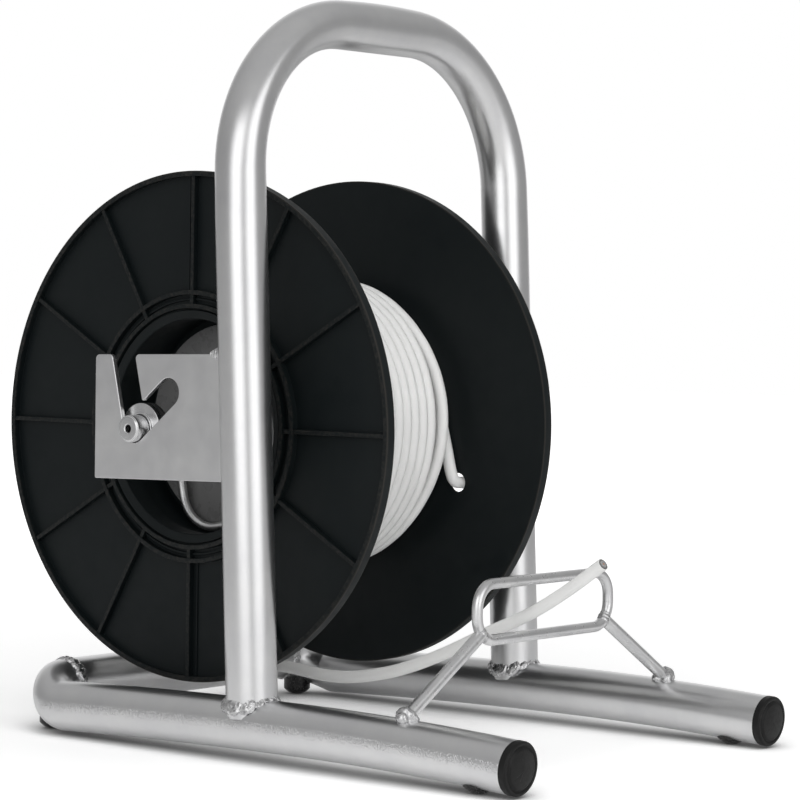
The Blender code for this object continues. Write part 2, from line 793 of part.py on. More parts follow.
square_on = {"left": Vector((1, 0, 0)), "right": Vector((-1, 0, 0))}
base = {}
tube_room = {}
for name, side in SIDES:
    path = side_tube_path(side)
    base[side] = add(f"{name}_base_tube", pipe(path, square_on[name]), steel)
    tube_room[side] = add(f"{name}_tube_room", rod(path, TUBE_R + GAP, TUBE_SIDES, last_way=square_on[name]))
    combine(bow, add(f"{name}_bow_weld", weld_mesh(side)), "UNION")
    combine(bow, tube_room[side])

    bracket = add(f"{name}_axle_bracket", bracket_mesh(side), sheet)
    combine(bracket, bow_room)

    leg = add(f"{name}_guide_leg", rod(guide_leg_path(side), LEG_ROD_D / 2), steel)
    combine(leg, ring_room)
    combine(leg, tube_room[side])

    add(f"{name}_end_cap", cap_mesh(side), cap_plastic)

cross_half = HALF_TRACK - CORNER_R - GAP
cross_ends = [Vector((x, AXLE_Y + REAR_REACH, CROSS_Z)) for x in (-cross_half, cross_half)]
add("rear_cross_tube", pipe(cross_ends), steel)

# Feet: a domed pad under the tube and a stem pressed through a hole in its wall
for name, side, middle in foot_points():
    floor_of_bore = middle.z - TUBE_BORE_R
    foot = add(name, foot_mesh(middle), rubber)
    combine(foot, tube_room[side])
    stem = upright_cylinder(middle.x, middle.y, GAP, floor_of_bore + FOOT_HEAD, FOOT_STEM_D)
    combine(foot, add(f"{name}_stem", stem), "UNION")
    hole = upright_cylinder(middle.x, middle.y, 0, middle.z, FOOT_STEM_D + 2 * GAP)
    combine(base[side], add(f"{name}_hole", hole))

# Axle, which slides in the brackets' slots
axle_seat = empty("axle_seat", (0, AXLE_Y, AXLE_Z))
add("axle_shaft", turned(axle_profile()), steel, axle_seat)
for name, side in SIDES:
    add(f"{name}_axle_collar", turned(mirrored(collar_profile(), side)), steel, axle_seat)

# Drum, which turns on the axle
spin = empty("drum_spin", (0, 0, 0), axle_seat)
tail_ends = [tail_hole() + Vector((x, 0, 0)) for x in (INNER_FACE - FLANGE_T, DRUM_W / 2 + FLANGE_T)]
tail_room = add("tail_room", rod(tail_ends, TAIL_HOLE_D / 2, ROUND_SIDES), parent=spin)
for name, side in SIDES:
    flange = add(f"{name}_flange", turned(mirrored(flange_profile(), side), DRUM_SIDES), black_plastic, spin)
    combine(flange, add(f"{name}_ribs", ribs_mesh(side), parent=spin), "UNION")
    if name == "right":
        combine(flange, tail_room)

    disc = add(f"{name}_clamp_disc", turned(mirrored(disc_profile(), side), DRUM_SIDES), dark_steel, spin)
    add(f"{name}_wire_bail", rod(bail_path(side), WIRE_D / 2, WIRE_SIDES), wire_steel, spin)
    combine(disc, add(f"{name}_bail_room", rod(bail_path(side), WIRE_D / 2 + GAP, WIRE_SIDES), parent=spin))
    add(f"{name}_hub_bush", turned(mirrored(hub_profile(), side)), steel, spin)

add("drum_core", turned(core_profile(), DRUM_SIDES), black_plastic, spin)

# Cable: wound on the drum, its inner end through the flange and its free end through the guide
winding = add("cable_winding", winding_mesh(), sheath, spin)
room = [
    (GAP - INNER_FACE, CORE_R + GAP),
    (WINDING_END, CORE_R + GAP),
    (WINDING_END, WINDING_R + TURN_GROOVE),
    (GAP - INNER_FACE, WINDING_R + TURN_GROOVE),
]
combine(winding, add("winding_room", turned(room, DRUM_SIDES), parent=spin), "INTERSECT")
add("cable_tail", rod(tail_path(), CABLE_D / 2), sheath, spin)
cable("cable_lead", lead_route(), sheath)
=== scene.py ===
"""The looks of a cable drum stand: bright plated tube, a black drum and white cable."""

from math import acos, asin, atan2, cos, pi, radians, sin, sqrt

import bmesh
import bpy
from mathutils import Matrix, Vector, noise


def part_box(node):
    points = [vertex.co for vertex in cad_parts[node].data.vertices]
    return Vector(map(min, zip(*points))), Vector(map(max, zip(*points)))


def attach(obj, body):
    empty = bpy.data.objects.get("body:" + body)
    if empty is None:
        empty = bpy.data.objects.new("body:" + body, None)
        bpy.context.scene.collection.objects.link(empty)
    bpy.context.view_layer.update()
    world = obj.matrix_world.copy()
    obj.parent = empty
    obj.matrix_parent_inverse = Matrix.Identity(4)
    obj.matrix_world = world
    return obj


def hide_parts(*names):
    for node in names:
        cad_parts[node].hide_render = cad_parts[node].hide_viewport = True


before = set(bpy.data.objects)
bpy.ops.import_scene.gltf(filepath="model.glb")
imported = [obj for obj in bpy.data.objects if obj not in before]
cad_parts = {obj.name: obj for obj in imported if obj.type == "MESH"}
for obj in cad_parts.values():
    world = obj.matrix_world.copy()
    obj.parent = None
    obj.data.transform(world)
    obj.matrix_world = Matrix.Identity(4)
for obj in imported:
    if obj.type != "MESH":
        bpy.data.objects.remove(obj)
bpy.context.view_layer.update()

# Studio: a white floor in a pale room that is white straight behind the stand, with a painted shadow
# darkening the floor round the stand's tubes. On either side of the camera a tall soft box hangs before a
# wider one, for the two bright lines with soft edges down each upright. One lamp above and one in front fill
# in, and neither shows in the metal.
scene = bpy.context.scene
scene.view_settings.view_transform = "Standard"
look_along = Vector((0.7786, 0.6268, -0.0318)).normalized()
look_right = look_along.cross(Vector((0.0156, 0.0313, 0.9994))).normalized()
look_up = look_right.cross(look_along)
camera_data = bpy.data.cameras.new("camera")
camera_data.lens = 132.59
camera = bpy.data.objects.new("camera", camera_data)
camera.matrix_world = Matrix.Translation((-1.29194, -1.06959, 0.24393)) @ Matrix(
    (look_right, look_up, -look_along)
).transposed().to_4x4()
scene.collection.objects.link(camera)
scene.camera = camera


def add_node(tree, kind, **inputs):
    """A node with some of its inputs set."""
    made = tree.nodes.new(kind)
    for socket, value in inputs.items():
        made.inputs[socket.replace("_", " ")].default_value = value
    return made


def add_math(tree, operation, *terms):
    """The result of a sum on numbers and on other nodes' results."""
    made = tree.nodes.new("ShaderNodeMath")
    made.operation = operation
    for socket, term in zip(made.inputs, terms):
        if isinstance(term, bpy.types.NodeSocket):
            tree.links.new(term, socket)
        else:
            socket.default_value = term
    return made.outputs[0]


def add_range(tree, value, low, high, to_low=0.0, to_high=1.0):
    """A node's result carried over from one range to another."""
    made = add_node(tree, "ShaderNodeMapRange", From_Min=low, From_Max=high, To_Min=to_low, To_Max=to_high)
    tree.links.new(value, made.inputs["Value"])
    return made.outputs["Result"]


world = bpy.data.worlds.new("pale_room")
world.use_nodes = True
scene.world = world
room = world.node_tree
room.nodes.clear()
where = add_node(room, "ShaderNodeTexCoord").outputs["Generated"]
behind = add_node(room, "ShaderNodeVectorMath")
behind.operation = "DOT_PRODUCT"
behind.inputs[1].default_value = Vector((look_along.x, look_along.y, 0)).normalized()
upward = add_node(room, "ShaderNodeSeparateXYZ")
room.links.new(where, behind.inputs[0])
room.links.new(where, upward.inputs[0])
glow = add_range(room, behind.outputs["Value"], 0.74, 0.97, 0.33, 1.0)
ceiling = add_range(room, upward.outputs["Z"], 0.30, 0.95, 0.0, 0.15)
rays = add_node(room, "ShaderNodeLightPath").outputs
direct = add_math(room, "MAXIMUM", rays["Is Camera Ray"], rays["Is Transmission Ray"])
seen = add_node(room, "ShaderNodeBackground", Color=(1, 1, 1, 1))
lighting = add_node(room, "ShaderNodeBackground")
chosen = add_node(room, "ShaderNodeMixShader")
whole = add_node(room, "ShaderNodeOutputWorld")
room.links.new(add_math(room, "ADD", glow, ceiling), lighting.inputs["Color"])
room.links.new(direct, chosen.inputs[0])
room.links.new(lighting.outputs[0], chosen.inputs[1])
room.links.new(seen.outputs[0], chosen.inputs[2])
room.links.new(chosen.outputs[0], whole.inputs[0])

floor_shape = bmesh.new()
bmesh.ops.create_grid(
    floor_shape, x_segments=1, y_segments=1, size=6, matrix=Matrix.Translation((0, 0, -0.0002)),
)
floor_mesh = bpy.data.meshes.new("floor")
floor_shape.to_mesh(floor_mesh)
floor_shape.free()
floor = bpy.data.objects.new("floor", floor_mesh)
scene.collection.objects.link(floor)
floor_finish = bpy.data.materials.new("white_floor")
floor_finish.use_nodes = True
ground = floor_finish.node_tree
ground.nodes.clear()
SHADE_REACH = 0.065
SHADE_LEAN = 0.5
LESS_SHADE_IN_MIRRORS = 0.85
LIFT_IN_MIRRORS = 0.10
distance = add_node(ground, "ShaderNodeVectorMath")
distance.operation = "LENGTH"
ground.links.new(add_node(ground, "ShaderNodeTexCoord").outputs["Object"], distance.inputs[0])
far = add_range(ground, distance.outputs["Value"], 0.25, 1.3, 0.28, 1.0)
tone = add_range(ground, distance.outputs["Value"], 0.25, 0.80, 0.95, 0.62)
# A painted shadow: an ambient occlusion test, leaning towards the camera, darkens the floor's colour and its
# white glow near the stand's tubes. It is weaker in mirrors.
near_by = add_node(ground, "ShaderNodeAmbientOcclusion", Distance=SHADE_REACH)
forward = add_node(
    ground, "ShaderNodeCombineXYZ", X=-SHADE_LEAN * look_along.x, Y=-SHADE_LEAN * look_along.y, Z=0.87,
)
ground.links.new(forward.outputs[0], near_by.inputs["Normal"])
shade = add_range(ground, near_by.outputs["AO"], 0.25, 0.85, 0.16, 1.0)
rays = add_node(ground, "ShaderNodeLightPath").outputs
paler = add_node(ground, "ShaderNodeMix", B=1.0)
less_shade = add_math(ground, "MULTIPLY", rays["Is Glossy Ray"], LESS_SHADE_IN_MIRRORS)
ground.links.new(less_shade, paler.inputs["Factor"])
ground.links.new(shade, paler.inputs["A"])
paper = add_node(ground, "ShaderNodeBsdfDiffuse")
ground.links.new(add_math(ground, "MULTIPLY", tone, paler.outputs["Result"]), paper.inputs["Color"])
direct = add_math(ground, "MAXIMUM", rays["Is Camera Ray"], rays["Is Transmission Ray"])
mirrored = add_math(ground, "MULTIPLY", rays["Is Glossy Ray"], LIFT_IN_MIRRORS)
any_seen = add_math(ground, "MAXIMUM", direct, mirrored)
lifted = add_math(ground, "MULTIPLY", far, shade)
lift = add_node(ground, "ShaderNodeEmission", Color=(1, 1, 1, 1))
ground.links.new(add_math(ground, "MULTIPLY", any_seen, lifted), lift.inputs["Strength"])
both = add_node(ground, "ShaderNodeAddShader")
surface = add_node(ground, "ShaderNodeOutputMaterial")
ground.links.new(paper.outputs[0], both.inputs[0])
ground.links.new(lift.outputs[0], both.inputs[1])
ground.links.new(both.outputs[0], surface.inputs["Surface"])
floor_mesh.materials.append(floor_finish)


def add_lamp(name, turn, climb, distance, width, height, brightness, in_mirrors=True):
    """A soft box seen from the stand at this turn to the right of the camera, in degrees."""
    away = Vector((-look_along.x, -look_along.y, 0)).normalized()
    away = Matrix.Rotation(radians(turn), 3, "Z") @ away
    away = away * cos(radians(climb)) + Vector((0, 0, sin(radians(climb))))
    lamp_data = bpy.data.lights.new(name, "AREA")
    lamp_data.shape = "RECTANGLE"
    lamp_data.size, lamp_data.size_y = width, height
    lamp_data.energy = brightness * pi * width * height
    lamp = bpy.data.objects.new(name, lamp_data)
    lamp.location = Vector((0, 0, 0.2)) + away * distance
    lamp.rotation_euler = (-away).to_track_quat("-Z", "Y").to_euler()
    lamp.visible_camera = False
    lamp.visible_glossy = in_mirrors
    scene.collection.objects.link(lamp)


for box_name, turn in (("left", -21.5), ("right", 41.5)):
    add_lamp(f"{box_name}_soft_box", turn, 14, 1.8, 1.05, 1.6, 0.62)
    add_lamp(f"{box_name}_soft_edge", turn, 14, 1.9, 1.90, 1.9, 0.60)
add_lamp("top_soft_box", 0, 80, 2.2, 1.8, 1.8, 1.3, in_mirrors=False)
add_lamp("front_soft_box", 12, 8, 2.4, 2.0, 2.0, 1.4, in_mirrors=False)

# Runners: two lengths of 28 mm welded steel tube, arched a little between their feet and bent inwards at
# the back, where each corner climbs to the cross tube. The tube's seam faces outwards, the bends are drawn
# in on their outer side, and the whole frame is zinc plated after welding.
AXLE = (Vector(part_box("axle_shaft")[0]) + Vector(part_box("axle_shaft")[1])) / 2
TUBE_R = 0.014
RUNNER_X = 0.1176
CREST_Y = AXLE.y - 0.130
CREST_Z = 0.0195
FRONT_RUN, FRONT_DROP = 0.1335, 0.0043
REAR_RUN, REAR_DROP = 0.1823, 0.0037
FRONT_ARCH = (FRONT_RUN ** 2 + FRONT_DROP ** 2) / (2 * FRONT_DROP)
REAR_ARCH = (REAR_RUN ** 2 + REAR_DROP ** 2) / (2 * REAR_DROP)
CORNER_R = 0.0243
CROSS_Z = 0.0244
CROSS_Y = CREST_Y + REAR_RUN + CORNER_R


def tinted(finish_name, dark, light, scale, metallic=0.0):
    """A finish whose colour drifts between two tones. Returns it with its tree, shader and place."""
    finish = bpy.data.materials.new(finish_name)
    finish.use_nodes = True
    tree = finish.node_tree
    shader = tree.nodes["Principled BSDF"]
    shader.inputs["Metallic"].default_value = metallic
    place = add_node(tree, "ShaderNodeTexCoord").outputs["Object"]
    cloud = add_node(tree, "ShaderNodeTexNoise", Scale=scale, Detail=4.0, Roughness=0.6)
    tone = add_node(tree, "ShaderNodeValToRGB")
    tone.color_ramp.elements[0].position = 0.3
    tone.color_ramp.elements[1].position = 0.7
    tone.color_ramp.elements[0].color = (*dark, 1)
    tone.color_ramp.elements[1].color = (*light, 1)
    tree.links.new(place, cloud.inputs["Vector"])
    tree.links.new(cloud.outputs["Fac"], tone.inputs["Fac"])
    tree.links.new(tone.outputs["Color"], shader.inputs["Base Color"])
    return finish, tree, shader, place


def grained(tree, place, scale, detail=3.0):
    """A fine noise."""
    grain = add_node(tree, "ShaderNodeTexNoise", Scale=scale, Detail=detail)
    tree.links.new(place, grain.inputs["Vector"])
    return grain.outputs["Fac"]


def dulled(tree, shader, pattern, low, high):
    """Lets the roughness drift between two values with a pattern."""
    tree.links.new(add_range(tree, pattern, 0.3, 0.7, low, high), shader.inputs["Roughness"])


def embossed(tree, shader, height, strength, distance):
    """Adds a relief on top of what the shader already has."""
    bump = add_node(tree, "ShaderNodeBump", Strength=strength, Distance=distance)
    tree.links.new(height, bump.inputs["Height"])
    if shader.inputs["Normal"].links:
        tree.links.new(shader.inputs["Normal"].links[0].from_socket, bump.inputs["Normal"])
    tree.links.new(bump.outputs["Normal"], shader.inputs["Normal"])


zinc, tree, shader, place = tinted("plated_tube", (0.73, 0.73, 0.74), (0.79, 0.79, 0.79), 45, metallic=1.0)
length = add_node(tree, "ShaderNodeAttribute")
length.attribute_name = "along"
LINES_PER_METRE = 420.0
stretch = add_node(tree, "ShaderNodeMapping", Scale=(40, 40, 40))
lines = add_node(tree, "ShaderNodeVectorMath")
tree.links.new(place, stretch.inputs["Vector"])
tree.links.new(stretch.outputs["Vector"], lines.inputs[0])
tree.links.new(add_math(tree, "MULTIPLY", length.outputs["Fac"], LINES_PER_METRE), lines.inputs[1])
polish = grained(tree, lines.outputs["Vector"], 1.0, 2.0)
dulled(tree, shader, polish, 0.285, 0.315)
seam = add_node(tree, "ShaderNodeAttribute")
seam.attribute_name = "from_seam"
band = add_range(tree, seam.outputs["Fac"], 0.04, 0.24, 1.0, 0.0)
specks = add_range(tree, grained(tree, place, 1100, 2.0), 0.52, 0.68)
embossed(tree, shader, add_math(tree, "MULTIPLY", band, specks), 1.0, 0.00045)


def ring_at(shape, centre, way, radius, sides=48, seam_side=None):
    """Starts a tube: a ring of edges square to its way, which knows its turn from the tube's seam."""
    from_seam = shape.verts.layers.float.get("from_seam") or shape.verts.layers.float.new("from_seam")
    turn = Vector((0, 0, 1)).rotation_difference(way).to_matrix().to_4x4()
    made = bmesh.ops.create_circle(
        shape, segments=sides, radius=radius, matrix=Matrix.Translation(centre) @ turn,
    )
    for vert in made["verts"]:
        vert[from_seam] = (vert.co - centre).angle(seam_side) if seam_side else pi
    return list({edge for vert in made["verts"] for edge in vert.link_edges})


def run_on(shape, ring, way):
    """Carries a tube straight on, and counts its length at each ring."""
    along = shape.verts.layers.float.get("along") or shape.verts.layers.float.new("along")
    made = bmesh.ops.extrude_edge_only(shape, edges=ring)["geom"]
    verts = {item for item in made if isinstance(item, bmesh.types.BMVert)}
    bmesh.ops.translate(shape, verts=list(verts), vec=way)
    for vert in verts:
        vert[along] += way.length
    return [item for item in made if isinstance(item, bmesh.types.BMEdge) and set(item.verts) <= verts]


def bend_on(shape, ring, centre, axis, angle, steps, climbs=None):
    """Carries a tube on round a bend, with a climb at each step where it rises too."""
    along = shape.verts.layers.float.get("along") or shape.verts.layers.float.new("along")
    middle = sum((vert.co for edge in ring for vert in edge.verts), Vector()) / (2 * len(ring))
    arm = middle - Vector(centre)
    arm -= Vector(axis).normalized() * arm.dot(Vector(axis).normalized())
    for step in range(steps):
        rise = Vector((0, 0, climbs[step])) if climbs else Vector()
        made = bmesh.ops.spin(
            shape, geom=ring, cent=centre, axis=axis, dvec=rise, angle=angle / steps, steps=1,
        )["geom_last"]
        for item in made:
            if isinstance(item, bmesh.types.BMVert):
                item[along] += arm.length * abs(angle) / steps
        ring = [item for item in made if isinstance(item, bmesh.types.BMEdge)]
    return ring


def draw_in(shape, pivot, onward, radius, share, margin):
    """Flattens the outer wall of a quarter bend on either side, as bending a tube does."""
    for vert in shape.verts:
        outward = Vector((1 if vert.co.x > 0 else -1, 0, 0))
        arm = vert.co - Vector((outward.x * pivot.x, pivot.y, pivot.z))
        out, on = arm.dot(outward), arm.dot(onward)
        if on < 0:
            turn, away = on / radius, outward
        elif out < 0:
            turn, away = pi / 2 - out / radius, onward
        else:
            turn, away = atan2(on, out), (outward * out + onward * on).normalized()
        reached = min(max((turn + margin) / (pi / 2 + 2 * margin), 0), 1)
        over = max(arm.dot(away) - radius, 0)
        vert.co -= away * over * share * (1 - cos(2 * pi * reached)) / 2


SHARP_EDGE = radians(40)


def add_piece(name, shape, finish, body, slot, *nodes):
    """Makes the finished mesh a piece that rides on a body and stands for CAD nodes."""
    bmesh.ops.remove_doubles(shape, verts=shape.verts, dist=1e-7)
    bmesh.ops.recalc_face_normals(shape, faces=shape.faces)
    mesh = bpy.data.meshes.new(name)
    shape.to_mesh(mesh)
    shape.free()
    mesh.shade_smooth()
    mesh.set_sharp_from_angle(angle=SHARP_EDGE)
    mesh.materials.append(finish)
    piece = bpy.data.objects.new(name, mesh)
    piece.modifiers.new("even_shading", "WEIGHTED_NORMAL").keep_sharp = True
    scene.collection.objects.link(piece)
    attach(piece, body)
    if nodes:
        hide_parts(*nodes)
    return piece


SIDES = (("left", -1), ("right", 1))
corner_low = CREST_Z - REAR_DROP
corner_steps = 20
CLIMB_POWER = 1.4
CORNER_DRAWN, CORNER_MARGIN = 0.18, 0.05
turned_by = [pi / 2 * k / corner_steps for k in range(corner_steps + 1)]
heights = [corner_low + (CROSS_Z - corner_low) * sin(turn) ** CLIMB_POWER for turn in turned_by]
climbs = [after - before for before, after in zip(heights, heights[1:])]
for side_name, side in SIDES:
    shape = bmesh.new()
    crest = Vector((side * RUNNER_X, CREST_Y, CREST_Z))
    middle = ring_at(shape, crest, Vector((0, 1, 0)), TUBE_R, 48, Vector((side, 0, 0.06)))
    bend_on(
        shape, middle, crest - Vector((0, 0, FRONT_ARCH)), (1, 0, 0), asin(FRONT_RUN / FRONT_ARCH), 16,
    )
    rear = bend_on(
        shape, middle, crest - Vector((0, 0, REAR_ARCH)), (1, 0, 0), -asin(REAR_RUN / REAR_ARCH), 16,
    )
    pivot = Vector((RUNNER_X - CORNER_R, CREST_Y + REAR_RUN, 0))
    side_pivot = (side * pivot.x, pivot.y, 0)
    bend_on(shape, rear, side_pivot, (0, 0, 1), side * pi / 2, corner_steps, climbs)
    draw_in(shape, pivot, Vector((0, 1, 0)), CORNER_R, CORNER_DRAWN, CORNER_MARGIN)
    add_piece(f"{side_name}_runner", shape, zinc, "frame", "zinc_steel", f"{side_name}_base_tube")

# Cross tube: a straight length of the same tube between the runners' rear corners. Its ends are cut square
# and butt-welded to them all round.
shape = bmesh.new()
CROSS_HALF = RUNNER_X - CORNER_R
ring = ring_at(shape, Vector((-CROSS_HALF, CROSS_Y, CROSS_Z)), Vector((1, 0, 0)), TUBE_R)
for _ in range(8):
    ring = run_on(shape, ring, Vector((CROSS_HALF / 4, 0, 0)))
add_piece("cross_tube", shape, zinc, "frame", "zinc_steel", "rear_cross_tube")

# Bow: one length of the same tube bent to an arch over the drum, which is also the handle. It leans back
# a little, and its ends are cut to sit on the runners and welded there.
BOW_LEAN = radians(2.7)
BOW_UP = Vector((0, sin(BOW_LEAN), cos(BOW_LEAN)))
BOW_R = 0.0854
BOW_FOOT = Vector((-RUNNER_X, AXLE.y - 0.0889, 0.0193))
BOW_TOP = 0.4145
BOW_CUT = 0.004
BOW_DRAWN, BOW_MARGIN = 0.25, 0.40
BOW_STEPS = 12
straight = (BOW_TOP - TUBE_R - BOW_FOOT.z) / cos(BOW_LEAN) - BOW_R
span = 2 * (RUNNER_X - BOW_R)
shape = bmesh.new()
start = BOW_FOOT + BOW_UP * BOW_CUT
ring = ring_at(shape, start, BOW_UP, TUBE_R)
for _ in range(BOW_STEPS):
    ring = run_on(shape, ring, BOW_UP * (straight - BOW_CUT) / BOW_STEPS)
bow_axis = BOW_UP.cross(Vector((1, 0, 0)))
shoulder = BOW_FOOT + BOW_UP * straight
ring = bend_on(shape, ring, shoulder + Vector((BOW_R, 0, 0)), bow_axis, pi / 2, 32)
for _ in range(BOW_STEPS):
    ring = run_on(shape, ring, Vector((span / BOW_STEPS, 0, 0)))
ring = bend_on(shape, ring, shoulder + Vector((BOW_R + span, 0, 0)), bow_axis, pi / 2, 32)
for _ in range(BOW_STEPS):
    ring = run_on(shape, ring, -BOW_UP * (straight - BOW_CUT) / BOW_STEPS)
draw_in(shape, shoulder + Vector((RUNNER_X + span / 2, 0, 0)), BOW_UP, BOW_R, BOW_DRAWN, BOW_MARGIN)
add_piece("bow", shape, zinc, "frame", "zinc_steel", "bow_tube")

# Welds: the cut ends of the bow don't meet the runners at their sides, so the gaps are filled with lumps
# of weld, and the cross tube has a bead round each end. The plating leaves them bright, pitted and rough.
weld, tree, shader, place = tinted("plated_weld", (0.38, 0.38, 0.39), (0.82, 0.82, 0.82), 420, metallic=1.0)
dulled(tree, shader, grained(tree, place, 500), 0.16, 0.42)
embossed(tree, shader, grained(tree, place, 420, 6.0), 0.45, 0.0008)
noise.seed_set(2)


def lay_lump(shape, point, size, flat, seed):
    """A lump of weld, thinned to a share of its size along one way, with ripples and pushed about."""
    way, share = flat
    turn = Vector((0, 0, 1)).rotation_difference(way).to_matrix().to_4x4()
    lump = Matrix.Translation(point) @ turn @ Matrix.Diagonal((size, size, size * share, 1))
    fineness = 4 if size > 0.004 else 3
    made = bmesh.ops.create_icosphere(shape, subdivisions=fineness, radius=1, matrix=lump)
    for vert in made["verts"]:
        arm = vert.co - point
        away = (arm - way * arm.dot(way)).length
        broad = noise.noise_vector(vert.co * 300 + Vector((seed, 0, 0)))
        fine = noise.noise_vector(vert.co * 900 + Vector((0, seed, 0)))
        vert.co += broad * 0.0005 + fine * 0.0002 + way * 0.00015 * cos(2 * pi * away / 0.0015)


def lay_bead(shape, points, sizes, seed):
    """A row of ripples along the points, each flattened along the row."""
    for i, (point, size) in enumerate(zip(points, sizes)):
        way = (points[min(i + 1, len(points) - 1)] - points[max(i - 1, 0)]).normalized()
        lay_lump(shape, point, size, (way, 0.6), seed + i * 0.3)


for seed, (side_name, side) in enumerate(SIDES):
    shape = bmesh.new()
    foot = Vector((side * RUNNER_X, BOW_FOOT.y, BOW_FOOT.z))
    for face in (-1, 1):
        for k, (across, up, size) in enumerate((
            (0.0078, 0.0118, 0.0054), (0.0010, 0.0115, 0.0060), (-0.0060, 0.0120, 0.0055),
            (-0.0108, 0.0135, 0.0036), (0.0115, 0.0135, 0.0030), (-0.0130, 0.0150, 0.0020),
            (-0.0020, 0.0068, 0.0034), (0.0045, 0.0072, 0.0032),
        )):
            tube = sqrt(TUBE_R ** 2 - across ** 2)
            runner = sqrt(max(TUBE_R ** 2 - up ** 2, 0))
            out = max(tube, runner) if up > 0.007 else runner
            point = foot + BOW_UP * up + Vector((face * (out - 0.0012), across, 0))
            way = Vector((2 * face * out, across, up)).normalized()
            lay_lump(shape, point, size, (way, 0.32), seed * 7 + k)
        points = []
        for k in range(9):
            turn = radians(90 * face) + radians(70) * (k - 4) / 4
            saddle = max(TUBE_R * abs(sin(turn)), 0.0110)
            points.append(foot + BOW_UP * saddle + Vector((cos(turn), sin(turn), 0)) * (TUBE_R - 0.0005))
        lay_bead(shape, points, [0.0016] * 9, seed + 3 * face)
    add_piece(f"{side_name}_foot_weld", shape, weld, "frame", "zinc_steel")
shape = bmesh.new()
for seed, (_, side) in enumerate(SIDES):
    for k in range(40):
        turn = 2 * pi * k / 40
        round_joint = Vector((0, -cos(turn), sin(turn)))
        facing = max(0, cos(turn - radians(35)))
        wander = 0.0010 * noise.noise((k * 0.8, seed * 4, 1.5))
        spot = Vector((side * CROSS_HALF + wander, CROSS_Y, CROSS_Z)) + round_joint * (TUBE_R - 0.0005)
        lay_lump(shape, spot, 0.0019 + 0.0016 * facing, (round_joint, 0.65), seed + k)
add_piece("cross_tube_welds", shape, weld, "frame", "zinc_steel")

# Axle brackets: 3 mm steel plates with an open slot for the axle to drop in and a closed slot that it can
# slide up. They are cut out, deburred and welded to the back of the bow.
plate, tree, shader, place = tinted("plated_plate", (0.70, 0.70, 0.71), (0.77, 0.77, 0.77), 30, metallic=1.0)
dulled(tree, shader, grained(tree, place, 120), 0.30, 0.40)
embossed(tree, shader, grained(tree, place, 800, 2.0), 0.03, 0.0001)


def round_off(shape, edges, width, segments=2):
    """Breaks some edges."""
    bmesh.ops.bevel(
        shape, geom=edges, offset=width, offset_type="OFFSET", affect="EDGES",
        segments=segments, profile=0.5, material=-1,
    )


def soften(shape, width, segments=2, sharper=40):
    """Breaks all the edges that are sharper than an angle in degrees."""
    edges = [
        edge for edge in shape.edges
        if len(edge.link_faces) == 2 and edge.calc_face_angle() > radians(sharper)
    ]
    round_off(shape, edges, width, segments)


for side_name, _ in SIDES:
    shape = bmesh.new()
    shape.from_mesh(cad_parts[f"{side_name}_axle_bracket"].data)
    bmesh.ops.remove_doubles(shape, verts=shape.verts, dist=1e-6)
    bmesh.ops.dissolve_limit(shape, angle_limit=radians(1), verts=shape.verts, edges=shape.edges)
    soften(shape, 0.0005)
    add_piece(f"{side_name}_bracket", shape, plate, "frame", "bracket_steel", f"{side_name}_axle_bracket")
shape = bmesh.new()
for seed, (side_name, side) in enumerate(SIDES):
    plate_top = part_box(f"{side_name}_axle_bracket")[1][2]
    joint = BOW_FOOT + BOW_UP * (plate_top - BOW_FOOT.z)
    points = [Vector((side * RUNNER_X, joint.y + 0.0140 + 0.0022 * k, plate_top - 0.0002)) for k in range(5)]
    lay_bead(shape, points, [0.0044, 0.0042, 0.0036, 0.0028, 0.0018], seed + 30)
add_piece("bracket_welds", shape, weld, "frame", "zinc_steel")

# Cable guide: a ring bent from 6 mm steel rod and closed by a weld. Two straight 7 mm rods carry it, which
# are welded to its lower corners and to the tops of the runners.
GUIDE_Y = AXLE.y - 0.195
GUIDE_Z = 0.0827
GUIDE_W, GUIDE_H, GUIDE_R = 0.120, 0.030, 0.013
GUIDE_ROD_R, LEG_ROD_R = 0.003, 0.0035
LEG_FOOT_Z, LEG_ROOT = 0.0340, 0.003
rod_steel, tree, shader, place = tinted(
    "plated_rod", (0.70, 0.70, 0.71), (0.78, 0.78, 0.78), 80, metallic=1.0,
)
dulled(tree, shader, grained(tree, place, 400), 0.26, 0.36)
embossed(tree, shader, grained(tree, place, 700, 2.0), 0.012, 0.0001)
shape = bmesh.new()
corner = Vector((-GUIDE_W / 2 + GUIDE_R, GUIDE_Y, GUIDE_Z - GUIDE_H / 2))
ring = ring_at(shape, corner, Vector((1, 0, 0)), GUIDE_ROD_R, 24)
heading = Vector((1, 0, 0))
for length_on in (GUIDE_W, GUIDE_H, GUIDE_W, GUIDE_H):
    ring = run_on(shape, ring, heading * (length_on - 2 * GUIDE_R))
    corner += heading * (length_on - 2 * GUIDE_R)
    inward = Matrix.Rotation(-pi / 2, 3, "Y") @ heading
    ring = bend_on(shape, ring, corner + inward * GUIDE_R, (0, -1, 0), pi / 2, 12)
    corner += (heading + inward) * GUIDE_R
    heading = inward
add_piece("guide_loop", shape, rod_steel, "frame", "zinc_steel", "guide_ring")
leg_inset = GUIDE_R * (1 - sqrt(0.5))
leg_welds = bmesh.new()
